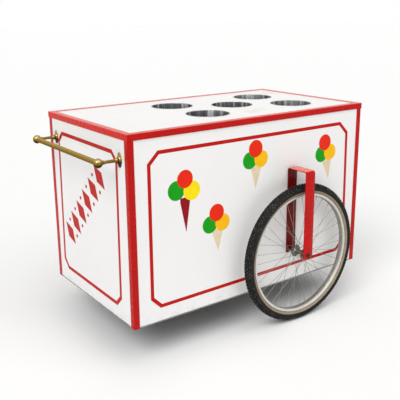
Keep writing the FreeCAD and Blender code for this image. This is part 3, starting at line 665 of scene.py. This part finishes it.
class Wall:
    """A wall's face as a drawing board: millimetres along it and up from the foot of the box."""

    def __init__(self, name, origin, across, out):
        self.name = name
        self.origin = np.array(origin)
        self.across = np.array(across, float)
        self.out = np.array(out, float)
        self.up = np.array((0.0, 0.0, 1.0))

    def at(self, along, height):
        return self.origin + self.across * along * MM + self.up * height * MM

    def film(self, name, outline, thickness, finish):
        """A flat cut shape, thickness proud of the wall; outline in millimetres."""
        depth = self.out * thickness * MM
        surface = plate(np.asarray(outline) * MM, self.origin, self.across, self.up, depth)
        return piece(f"{self.name}_{name}", surface, "cart", finish)

    def line_frame(self, corners, width, flip=False):
        """A stripe carried round a closed line through corners, which are (along, up) in millimetres."""
        length = LONG if abs(self.across[0]) else WIDE
        path = np.array([self.at(length - x if flip else x, z) for x, z in corners])
        normal = np.cross(self.across, self.up)
        depth = 0.25 * MM * float(normal @ self.out)
        half = width / 2 * MM
        profile = [(-half, 0), (half, 0), (half, depth), (-half, depth)]
        surface = carried(profile, path, normal, closed=True)
        return piece(f"{self.name}_line_frame", surface, "cart", film_red)


front_wall = Wall("front", (LEFT, FRONT, FOOT), (1, 0, 0), (0, -1, 0))
back_wall = Wall("back", (RIGHT, BACK, FOOT), (-1, 0, 0), (0, 1, 0))
near_wall = Wall("handle_end", (LEFT, BACK, FOOT), (0, -1, 0), (-1, 0, 0))
far_wall = Wall("far_end", (RIGHT, FRONT, FOOT), (0, 1, 0), (1, 0, 0))
LONG = (RIGHT - LEFT) / MM
WIDE = (BACK - FRONT) / MM
SCOOP = 38.5
BIG_SCOOP = 41.5

# Hand-laid stripes: the corners of their centre lines, along the wall and up, none quite square.
LONG_STRIPE = [(132, 70), (1170, 81), (1218, 128), (1209, 674),
               (1160, 723), (135, 723), (90, 678), (90, 112)]
END_STRIPE = [(112, 73), (583, 66), (620, 104), (630, 686), (592, 722), (128, 725), (90, 686), (74, 112)]

# Each cone: the red scoop, then the green and the yellow one, the cone's top corners and its tip.
CONES = [
    ((260, 595), (-43, -43), (33, -53), (-25, -97), (24, -94), (3, -228), film_yellow, film_crimson),
    ((421, 421), (-36, -48), (31, -48), (-23, -92), (31, -88), (8, -174), film_orange, film_wafer),
    ((635, 671), (-33, -49), (32, -49), (-24, -92), (32, -89), (1, -182), film_orange, film_wafer),
    ((1063, 644), (-21, -54), (36, -50), (-10, -100), (46, -97), (31, -179), film_orange, film_wafer),
]


def draw_cones(wall, flip):
    """Three round scoops over a tapering cone; flip mirrors the drawing along the wall."""
    for index, (red, green, yellow, left, right, tip, yellow_film, cone_film) in enumerate(CONES):
        def spot_at(offset):
            along = red[0] + offset[0]
            return np.array([LONG - along if flip else along, red[1] + offset[1]])

        left_end, right_end, point = spot_at(left), spot_at(right), spot_at(tip)
        blunt = 0.02
        near_tip = [point + blunt * (left_end - point), point + blunt * (right_end - point)]
        lift = np.array([0, 18])
        cone = [left_end, *near_tip, right_end, right_end + lift, left_end + lift]
        wall.film(f"cone_{index}", cone, 0.2, cone_film)
        lower = SCOOP if index else BIG_SCOOP
        for label, offset, size, thickness, film in (("green", green, lower, 0.3, film_green),
                                                     ("yellow", yellow, lower, 0.4, yellow_film),
                                                     ("red", (0, 0), SCOOP, 0.5, film_scoop_red)):
            wall.film(f"scoop_{label}_{index}", disc_outline(size) + spot_at(offset), thickness, film)


def draw_lozenges(wall):
    """A slanting row of plain lozenges, each a solid one inside a thin outline, with dots between."""
    start, end = np.array([WIDE - 566, 262]), np.array([WIDE - 250, 592])
    along = unit(end - start)
    over = np.array([-along[1], along[0]])
    count = 6
    pitch = np.linalg.norm(end - start) / (count - 1)
    shape = np.array([(1, 0), (0, 1), (-1, 0), (0, -1)])
    half = np.array([32, 64])
    for index in range(count):
        centre = start + along * pitch * index
        solid = centre + (shape * half * 0.84) @ np.array([along, over])
        wall.film(f"lozenge_{index}", solid, 0.3, film_red)
        path = np.array([wall.at(*(centre + spot)) for spot in (shape * half) @ np.array([along, over])])
        normal = np.cross(wall.across, wall.up)
        depth = 0.25 * MM * float(normal @ wall.out)
        stroke = 5 * MM
        profile = [(0, 0), (stroke, 0), (stroke, depth), (0, depth)]
        piece(f"{wall.name}_lozenge_line_{index}", carried(profile, path, normal, closed=True), "cart",
              film_red)
        if index:
            for height in (-1, 1):
                dot = centre - along * pitch / 2 + over * 46 * height
                wall.film(f"dot_{index}_{height + 1}", disc_outline(8, 32) + dot, 0.3, film_red)


def make_ornament():
    front_wall.line_frame(LONG_STRIPE, 16)
    back_wall.line_frame(LONG_STRIPE, 16, flip=True)
    near_wall.line_frame(END_STRIPE, 17)
    far_wall.line_frame(END_STRIPE, 17, flip=True)
    draw_cones(front_wall, False)
    draw_cones(back_wall, True)
    draw_lozenges(near_wall)


# Wells.

def make_wells():
    """A pressed cup with a rolled lip and a round-cornered bottom, turned about its own axis."""
    for name in ("well_centre", "well_front_near", "well_front_far", "well_back_near", "well_back_far"):
        low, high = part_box(name)
        lip = (high.x - low.x) / 2
        outer = lip - 4 * MM
        inner = outer - 1.2 * MM
        deep = low.z - TOP
        corners = np.array([(0, deep), (outer, deep), (outer, 0.05 * MM), (lip, 0.05 * MM),
                            (lip, high.z - TOP), (inner, high.z - TOP), (inner, deep + 1.2 * MM),
                            (0, deep + 1.2 * MM)])
        radii = np.array([0, 16, 0, 0.5, 0.6, 1.0, 15, 0]) * MM
        profile = rounded(corners, radii, 7, closed=False)
        origin = ((low.x + high.x) / 2, (low.y + high.y) / 2, TOP)
        surface = turned(profile, origin, (0, 0, 1), 128)
        piece(f"{name}_cup", surface, "cart", steel, (name,), sharp=50)


# Handle.

def make_handle():
    """Turned brass: oval rosettes, tapered posts with a bead and a ball, and a collared bar."""
    bar_low, bar_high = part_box("handle_bar")
    bar_x = (bar_low.x + bar_high.x) / 2
    bar_z = (bar_low.z + bar_high.z) / 2
    reach = LEFT - bar_x
    for side in SIDES:
        low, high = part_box(f"handle_rosette_{side}")
        y = (low.y + high.y) / 2
        tall, wide = (high.z - low.z) / 2, (high.y - low.y) / 2
        depth = high.x - low.x
        oval = rounded([(0, 0), (tall, 0), (tall, 2 * MM), (tall - 3 * MM, 3 * MM), (0, 3 * MM)],
                       np.array([0, 0.4, 0.8, 2, 0]) * MM, 5, closed=False)
        points, faces = turned(oval, (LEFT, y, bar_z), (-1, 0, 0), 96)
        points[:, 1] = y + (points[:, 1] - y) * wide / tall
        cone = rounded([(0, 2.8 * MM), (wide - 1 * MM, 2.8 * MM), (12 * MM, depth), (0, depth)],
                       np.array([0, 0.5, 2, 0]) * MM, 5, closed=False)
        surfaces = [(points, faces), turned(cone, (LEFT, y, bar_z), (-1, 0, 0), 64)]
        screw = rounded([(0, 0), (3.4 * MM, 0), (2.2 * MM, 1.5 * MM), (0, 1.6 * MM)],
                        np.array([0, 0.3, 0.8, 0]) * MM, 4, closed=False)
        screw_inset = 8 * MM
        for way in (-1, 1):
            seat = (LEFT - 2.8 * MM, y, bar_z + way * (tall - screw_inset))
            surfaces.append(turned(screw, seat, (-1, 0, 0), 16))
        piece(f"rosette_{side}", join(surfaces), "cart", brass, (f"handle_rosette_{side}",))
        ball = 19 * MM
        neck = 6 * MM
        lean = np.linspace(-math.acos(neck / ball), math.pi / 2, 28)
        head = np.stack([ball * np.cos(lean), reach + ball * np.sin(lean)], axis=1)
        head[-1, 0] = 0
        bead, ring = 10.9 * MM, 8.4 * MM
        stem = np.array([(0, depth), (8 * MM, depth), (bead, depth + 3 * MM), (bead, depth + 8 * MM),
                         (7.6 * MM, depth + 12 * MM), (6.8 * MM, depth + 16 * MM), (neck, reach - 28 * MM),
                         (ring, reach - 26 * MM), (ring, reach - 22 * MM), (neck, reach - 20 * MM),
                         (neck, reach - ball + 0.8 * MM)])
        radii = np.array([0, 0.8, 4, 4, 3, 4, 1, 1.8, 1.8, 0.8, 0]) * MM
        profile = np.concatenate([rounded(stem, radii, 6, closed=False), head])
        surface = turned(profile, (LEFT, y, bar_z), (-1, 0, 0), 64)
        piece(f"post_{side}", surface, "cart", brass, (f"handle_post_{side}",), sharp=60)
    half = (bar_high.y - bar_low.y) / 2
    grip = 11 * MM
    collar = (bar_high.z - bar_low.z) / 2
    collar_out = half - 21.2 * MM
    collar_in = collar_out - 4 * MM
    shoulder = collar - 0.8 * MM
    end = np.array([(0, half), (grip, half), (grip, collar_out), (shoulder, collar_out),
                    (collar, (collar_out + collar_in) / 2), (shoulder, collar_in), (grip, collar_in)])
    both = np.concatenate([end, (end * (1, -1))[::-1]])
    radii = np.array([0, 0.3, 0.1, 0.5, 1.2, 0.5, 0.3]) * MM
    profile = rounded(both, np.concatenate([radii, radii[::-1]]), 5, closed=False)
    piece("push_bar", turned(profile, (bar_x, 0, bar_z), (0, 1, 0), 64), "cart", brass,
          ("handle_bar",), sharp=50)


# Wheel brackets.

def make_brackets():
    """A flat bar with softened edges carried round an upside-down U."""
    for side, sign in SIDES.items():
        name = f"wheel_bracket_{side}"
        low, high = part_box(name)
        half = (high.x - low.x) / 2
        thick = 5 * MM
        wall = FRONT if sign < 0 else BACK
        reach = high.y - low.y
        middle = thick / 2
        flat = [(middle, low.z), (middle, high.z - middle), (reach - middle, high.z - middle),
                (reach - middle, low.z)]
        bend = rounded(flat, np.array([0, 10.5, 10.5, 0]) * MM, 14, closed=False)
        centre_x = (low.x + high.x) / 2
        path = np.stack([np.full(len(bend), centre_x), wall + sign * bend[:, 0], bend[:, 1]], axis=1)
        edge = [(-middle, -half), (middle, -half), (middle, half), (-middle, half)]
        surface = carried(rounded(edge, 0.9 * MM, 4), path, (1, 0, 0))
        surfaces = [surface]
        dome = rounded([(0, 0), (8 * MM, 0), (6.5 * MM, 3 * MM), (0, 3.4 * MM)],
                       np.array([0, 0.4, 3, 0]) * MM, 5, closed=False)
        bolt_z = WHEEL_Z + SECTION_CENTRE - 22 * MM
        surfaces.append(turned(dome, (centre_x, wall + sign * (thick - 0.1 * MM), bolt_z), (0, sign, 0), 24))
        piece(f"bracket_{side}", join(surfaces), "cart", bracket_paint, (name,))
        hole, rim, thin = 5.4 * MM, 12 * MM, 1.6 * MM
        washer = rounded([(hole, 0), (rim, 0), (rim, thin), (hole, thin)], 0.4 * MM, 3)
        seat = (centre_x, wall + sign * (reach + 0.02 * MM), WHEEL_Z)
        piece(f"axle_washer_{side}", turned(washer, seat, (0, sign, 0), 40, loop=True), "cart",
              axle_steel)


# Bicycle wheels.

def make_tyre(side, sign):
    """A round casing that narrows to its bead, under rows of small tapered tread blocks."""
    centre = np.array((WHEEL_X, sign * WHEEL_Y, WHEEL_Z))
    lean = np.radians(np.linspace(-148, 148, 45))
    casing = SECTION - 4.6 * MM + 3.2 * MM * (1 - np.cos(lean)) / 2
    profile = np.stack([SECTION_CENTRE + casing * np.cos(lean), casing * np.sin(lean)], axis=1)
    bead = RIM_TIP - 4 * MM
    profile = np.concatenate([profile, [(bead, profile[-1, 1]), (bead, profile[0, 1])]])
    surface = turned(profile, centre, (0, 1, 0), 256, loop=True)
    piece(f"tyre_casing_{side}", surface, f"wheel_{side}", gum_and_black, (f"tyre_{side}",))
    piece(f"tyre_tread_{side}", tread_blocks(centre), f"wheel_{side}", tread_black, sharp=25)


def tread_blocks(centre):
    """One tapered block at each place of a staggered grid of turns and leans round the casing."""
    count = 118
    rows = [(-72, 10.5, 6.4, 0.0), (-50, 8.4, 5.6, 0.5), (-25, 9.2, 5.4, 0.0), (0, 8.4, 5.4, 0.5),
            (25, 9.2, 5.4, 0.0), (50, 8.4, 5.6, 0.5), (72, 10.5, 6.4, 0.0)]
    lean, length, width, stagger = (np.repeat(column, count) for column in zip(*rows))
    turn = 2 * np.pi * (np.tile(np.arange(count), len(rows)) + stagger) / count
    lean = np.radians(lean)
    outward = np.stack([np.cos(turn), np.zeros_like(turn), np.sin(turn)], axis=1)
    axle = np.array((0.0, 1.0, 0.0))
    out = outward * np.cos(lean)[:, None] + axle * np.sin(lean)[:, None]
    ahead = np.stack([-np.sin(turn), np.zeros_like(turn), np.cos(turn)], axis=1)
    across = np.cross(out, ahead)
    frames = np.stack([ahead * length[:, None], across * width[:, None], out], axis=1)
    foot, head = SECTION - 5.2 * MM, SECTION - 0.35 * MM
    corner = np.array([(-1, -1), (1, -1), (1, 1), (-1, 1)]) * MM / 2
    levels = ((1.12, foot), (1, head - 0.5 * MM), (0.9, head))
    block = np.concatenate([np.c_[corner * share, np.full(4, level)] for share, level in levels])
    faces = [grid_faces(3, 4, False, True), np.array([[0, 1, 2, 3]]), np.array([[8, 9, 10, 11]])]
    return copies((block, faces), centre + SECTION_CENTRE * outward, frames)


SPOKES = 36
FLANGE = 29 * MM
PITCH_RADIUS = 23 * MM
SPOKE_RIM_OFFSET = 2 * MM


def spoke_lines():
    """Both ends of every spoke about the hub's middle, the side it is on and its lean."""
    index = np.arange(SPOKES)
    flange = np.where(index % 2 == 0, 1.0, -1.0)
    lean = np.where((index // 2) % 2 == 0, 1.0, -1.0)
    rim_turn = 2 * np.pi * index / SPOKES
    hub_turn = rim_turn - lean * np.pi / 3
    seat = FLANGE + np.where(lean > 0, 4.6, -2.7) * MM
    hub, rim = (np.stack([radius * np.cos(turn), flange * offset, radius * np.sin(turn)], axis=1)
                for radius, turn, offset in ((PITCH_RADIUS, hub_turn, seat),
                                             (RIM_INNER, rim_turn, SPOKE_RIM_OFFSET)))
    return hub, rim, flange, lean


def tubes(paths, radius, sides=8):
    """path + radius * (cos(turn) * side + sin(turn) * up) along many paths at once, closed at both ends."""
    count, steps = paths.shape[:2]
    along = unit(np.gradient(paths, axis=1))
    side = unit(np.cross(along, (0.02, 1.0, 0.03)))
    up = np.cross(along, side)
    turn = np.linspace(0, 2 * np.pi, sides, endpoint=False)[:, None]
    ring = np.cos(turn) * side[:, :, None] + np.sin(turn) * up[:, :, None]
    points = paths[:, :, None] + radius * ring
    faces = grid_faces(steps, sides, False, True)
    ends = np.array([np.arange(sides), np.arange(sides) + (steps - 1) * sides])
    shift = (np.arange(count) * steps * sides)[:, None, None]
    return points.reshape(-1, 3), [(shift + part[None]).reshape(-1, part.shape[1]) for part in (faces, ends)]


def make_spokes(side, sign):
    """Spokes with bent heads in the flanges, and a nipple on each at the rim."""
    centre = np.array((WHEEL_X, sign * WHEEL_Y, WHEEL_Z))
    hub, rim, flange, lean = spoke_lines()
    inward = np.stack([np.zeros(SPOKES), -flange * lean, np.zeros(SPOKES)], axis=1)
    head = hub + inward * np.where(lean > 0, 6.4, 4.6)[:, None] * MM
    run = unit(rim - hub)
    bend = [head, hub + inward * 1.0 * MM, hub + (inward * 0.3 + run * 0.3) * MM, hub + run * 1.0 * MM]
    share = np.linspace(0.01, 1, 6)[:, None, None]
    straight = hub + (rim - hub) * share
    paths = np.concatenate([np.stack(bend, axis=1), np.moveaxis(straight, 0, 1)], axis=1) + centre
    points, faces = tubes(paths, 0.88 * MM)
    square = unit(np.cross(run, (0, 1, 0)))
    frames = np.stack([square, np.cross(run, square), run], axis=1)
    nipple = turned(rounded([(0, -12 * MM), (1.5 * MM, -12 * MM), (1.9 * MM, -3 * MM), (2.6 * MM, -1.5 * MM),
                             (2.6 * MM, 0.4 * MM), (0, 0.4 * MM)], 0.2 * MM, 2, closed=False),
                    (0, 0, 0), (0, 0, 1), 10)
    button = turned(rounded([(0, -0.8 * MM), (1.9 * MM, -0.5 * MM), (1.9 * MM, 0.3 * MM), (0, 0.6 * MM)],
                            0.2 * MM, 2, closed=False), (0, 0, 0), (0, 1, 0), 10)
    heads = copies(button, head + centre, np.broadcast_to(np.eye(3), (SPOKES, 3, 3)))
    nipples = copies(nipple, rim + centre, frames)
    piece(f"spoke_set_{side}", join([(points, faces), heads, nipples]), f"wheel_{side}",
          spoke_steel, (f"spokes_{side}",), sharp=50)


def make_rim(side, sign):
    """A box-section rim with rolled edges, turned about the axle, and a valve stem."""
    centre = np.array((WHEEL_X, sign * WHEEL_Y, WHEEL_Z))
    inner_half = RIM_HALF - 2.4 * MM
    bed = RIM_TIP - 6 * MM
    half = np.array([(bed, inner_half), (RIM_TIP, inner_half), (RIM_TIP, RIM_HALF),
                     (RIM_TIP - 2.6 * MM, RIM_HALF), (RIM_TIP - 3.4 * MM, RIM_HALF - 0.6 * MM),
                     (RIM_INNER + 5 * MM, RIM_HALF - 0.6 * MM),
                     (RIM_INNER + 1.5 * MM, RIM_HALF - 5 * MM), (RIM_INNER, RIM_HALF - 11 * MM)])
    corners = np.concatenate([half, (half * (1, -1))[::-1]])
    radii = np.array([0.3, 1.1, 1.0, 0.4, 0.4, 2.0, 2.4, 3.0]) * MM
    profile = rounded(corners, np.concatenate([radii, radii[::-1]]), 6)
    thick, thin = 3.6 * MM, 2.6 * MM
    stem = rounded([(0, -2 * MM), (thick, -2 * MM), (thick, 20 * MM), (thin, 22 * MM), (thin, 32 * MM),
                    (0, 32 * MM)], 0.4 * MM, 3, closed=False)
    turn = math.radians(80)
    spot = centre + RIM_INNER * np.array((math.cos(turn), 0, math.sin(turn)))
    inward = (-math.cos(turn), 0, -math.sin(turn))
    wheel = f"wheel_{side}"
    hoop = turned(profile, centre, (0, 1, 0), 256, loop=True)
    piece(f"rim_hoop_{side}", hoop, wheel, rim_alloy, (f"rim_{side}",), sharp=40)
    piece(f"valve_stem_{side}", turned(stem, spot, inward, 20), wheel, caster_rubber)


def make_hub(side, sign):
    """A hub shell with two round-edged flanges and bearing cups, turned about the axle."""
    low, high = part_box(f"hub_{side}")
    centre = np.array((WHEEL_X, sign * WHEEL_Y, WHEEL_Z))
    half_length = (high.y - low.y) / 2
    flange = (high.z - low.z) / 2
    outer, inner = FLANGE + 1.5 * MM, FLANGE - 1.5 * MM
    half = np.array([(5.3 * MM, half_length), (14 * MM, half_length), (17.5 * MM, half_length - 5 * MM),
                     (17.5 * MM, outer), (flange, outer), (flange, inner),
                     (18 * MM, inner), (12 * MM, FLANGE - 12 * MM)])
    corners = np.concatenate([half, (half * (1, -1))[::-1]])
    radii = np.array([0.3, 1, 2, 0.5, 1.2, 1.2, 2.5, 6]) * MM
    profile = rounded(corners, np.concatenate([radii, radii[::-1]]), 5)
    shell = turned(profile, centre, (0, 1, 0), 64, loop=True)
    piece(f"hub_shell_{side}", shell, f"wheel_{side}", hub_steel, (f"hub_{side}",), sharp=40)


def make_caster_wheel():
    """A solid rubber tyre with rounded shoulders on a moulded core."""
    low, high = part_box("caster_tyre")
    centre = ((low.x + high.x) / 2, 0, (low.z + high.z) / 2)
    radius, half = (high.z - low.z) / 2, (high.y - low.y) / 2
    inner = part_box("caster_hub")
    core = (inner[1].z - inner[0].z) / 2
    tyre = rounded([(core, -half), (radius, -half), (radius, half), (core, half)],
                   np.array([0.3, 7, 7, 0.3]) * MM, 9)
    piece("caster_rubber_ring", turned(tyre, centre, (0, 1, 0), 96, loop=True), "caster_wheel",
          caster_rubber, ("caster_tyre",), sharp=50)
    boss = (inner[1].y - inner[0].y) / 2
    face = half - 7 * MM
    side = np.array([(5.3 * MM, boss), (14 * MM, boss), (14 * MM, face), (core - 6 * MM, face),
                     (core - 4 * MM, half - 1 * MM), (core - 0.2 * MM, half - 1 * MM)])
    corners = np.concatenate([side, (side * (1, -1))[::-1]])
    radii = np.array([0.4, 0.8, 2, 2, 0.6, 0.3]) * MM
    profile = rounded(corners, np.concatenate([radii, radii[::-1]]), 5)
    piece("caster_core", turned(profile, centre, (0, 1, 0), 64, loop=True), "caster_wheel",
          caster_plastic, ("caster_hub",), sharp=40)


make_corner_trims()
make_lid_trims()
make_seam()
make_ornament()
make_wells()
make_handle()
make_brackets()
for side, sign in SIDES.items():
    make_tyre(side, sign)
    make_rim(side, sign)
    make_spokes(side, sign)
    make_hub(side, sign)
make_caster_wheel()


# Stage: a pale floor, a white surround and soft light.

AMBIENT = 0.46


def make_stage():
    reach = 40.0
    floor_mesh = bpy.data.meshes.new("floor")
    corners = [(-reach, -reach, 0), (reach, -reach, 0), (reach, reach, 0), (-reach, reach, 0)]
    floor_mesh.from_pydata(corners, [], [(0, 1, 2, 3)])
    floor = bpy.data.objects.new("floor", floor_mesh)
    bpy.context.scene.collection.objects.link(floor)
    finish = Finish("floor_white", 0.6, colour=(0.93, 0.93, 0.925), specular=0.1)
    floor_mesh.materials.append(finish.material)
    world = bpy.data.worlds.new("surround")
    bpy.context.scene.world = world
    world.use_nodes = True
    surround = Bench(world.node_tree, "Background")
    seen = surround.add("ShaderNodeLightPath", output="Is Camera Ray")
    for kind in ("Is Glossy Ray", "Is Transmission Ray"):
        seen = seen.most(surround.add("ShaderNodeLightPath", output=kind))
    surround.set("Color", (1, 1, 1, 1))
    surround.set("Strength", seen * (1 - AMBIENT) + AMBIENT)


def sun(name, azimuth, elevation, strength, spread):
    """A soft distant lamp that shines from an azimuth and elevation in degrees."""
    lamp = bpy.data.lights.new(name, "SUN")
    lamp.energy = strength
    lamp.angle = math.radians(spread)
    item = bpy.data.objects.new(name, lamp)
    bpy.context.scene.collection.objects.link(item)
    turn, rise = math.radians(azimuth), math.radians(elevation)
    source = Vector((math.sin(turn) * math.cos(rise), -math.cos(turn) * math.cos(rise), math.sin(rise)))
    item.rotation_mode = "QUATERNION"
    item.rotation_quaternion = (-source).to_track_quat("-Z", "Y")


def make_camera():
    """A 59 mm lens at the front left of the cart, a little above it."""
    camera = bpy.data.cameras.new("camera")
    camera.lens = 59.042
    camera.sensor_width = 36
    camera.shift_x = 0.00825
    camera.shift_y = -0.046
    camera.clip_end = 200
    item = bpy.data.objects.new("camera", camera)
    bpy.context.scene.collection.objects.link(item)
    azimuth, elevation, roll = math.radians(-35.328), math.radians(15.053), math.radians(-0.632)
    back = Vector((math.sin(azimuth) * math.cos(elevation), -math.cos(azimuth) * math.cos(elevation),
                   math.sin(elevation)))
    item.location = (-1.7865, -2.49176, 1.44659)
    item.rotation_mode = "QUATERNION"
    item.rotation_quaternion = (-back).to_track_quat("-Z", "Y") @ Quaternion((0, 0, 1), roll)
    bpy.context.scene.camera = item


make_stage()
make_camera()
sun("overhead", 15, 57, 0.95, 60)
sun("front_left", -62, 45, 1.5, 34)
bpy.context.scene.view_settings.view_transform = "Standard"
